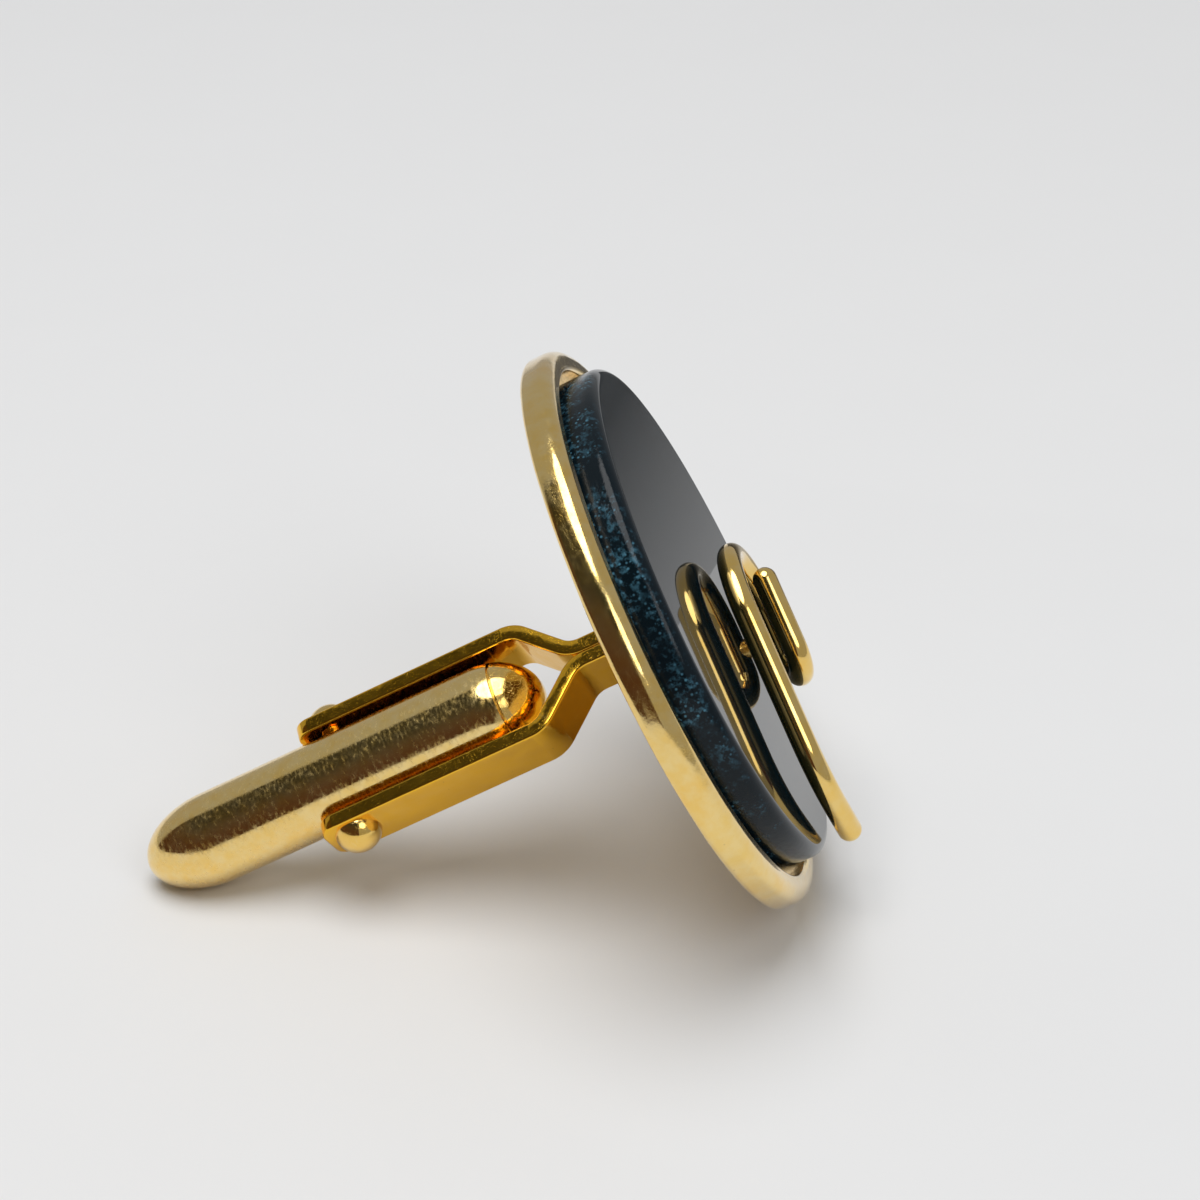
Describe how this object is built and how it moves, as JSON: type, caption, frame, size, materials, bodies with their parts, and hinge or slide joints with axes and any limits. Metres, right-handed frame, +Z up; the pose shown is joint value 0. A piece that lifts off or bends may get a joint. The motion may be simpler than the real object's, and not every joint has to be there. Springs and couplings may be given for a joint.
{
  "type": "cufflink",
  "caption": "Round gold-tone cufflink: dark polished stone in a rimmed dish under a wire scroll, with a forked post and a bullet-shaped toggle that turns on a riveted pin to hold the cuff.",
  "frame": {"origin": "middle of the base of the cufflink as it lies at rest, on the ground", "axes": "+Z up; +X from the toggle's tip towards the face, along the ground under the post; +Y completes the frame"},
  "size_m": [0.0266, 0.022, 0.0202],
  "materials": {
    "gold_plate": "polished gold-tone plate, worn a little on the edges",
    "polished_stone": "opaque blue-black stone, mirror polished",
    "cement": "dull cement",
    "spring_steel": "bare spring steel"
  },
  "bodies": {
    "face": {"back_plate": "gold_plate", "stone_cement": "cement", "stone": "polished_stone", "scroll_wire": "gold_plate", "scroll_peg": "gold_plate", "lower_leg": "gold_plate", "upper_leg": "gold_plate", "pivot_pin": "gold_plate"},
    "toggle": {"toggle_tube": "gold_plate", "toggle_cap": "gold_plate", "detent_spring": "spring_steel"}
  },
  "joints": [
    {"name": "toggle_swing", "type": "hinge", "parent": "face", "child": "toggle", "pos_m": [-0.00567, 0, 0.00432], "axis": [0.1999, -0.8829, -0.4248], "continuous": true, "deforming": ["detent_spring"]}
  ]
}
